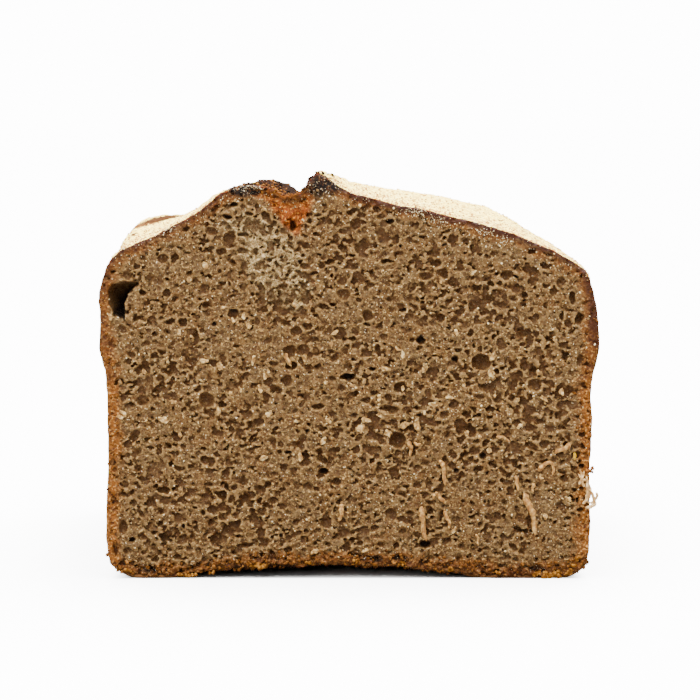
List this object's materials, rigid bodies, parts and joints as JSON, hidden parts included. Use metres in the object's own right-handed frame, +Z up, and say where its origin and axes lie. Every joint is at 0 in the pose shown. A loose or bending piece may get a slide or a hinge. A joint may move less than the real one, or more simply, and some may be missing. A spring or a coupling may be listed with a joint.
{
  "type": "whole grain rye bread",
  "caption": "Cut end of a dark whole grain rye tin loaf, flat porous cut face, split crown with raised lips, straight tin-baked walls and a flat base.",
  "frame": {"origin": "on the table, under the middle of the loaf's bounding box", "axes": "+Z up, the cut face looks along -Y, the baked end is at +Y, +X is to the right as seen from the front"},
  "size_m": [0.1148, 0.1336, 0.0934],
  "materials": {
    "rye_bread": null
  },
  "bodies": {
    "root": {"rye_loaf": "rye_bread"}
  },
  "joints": []
}
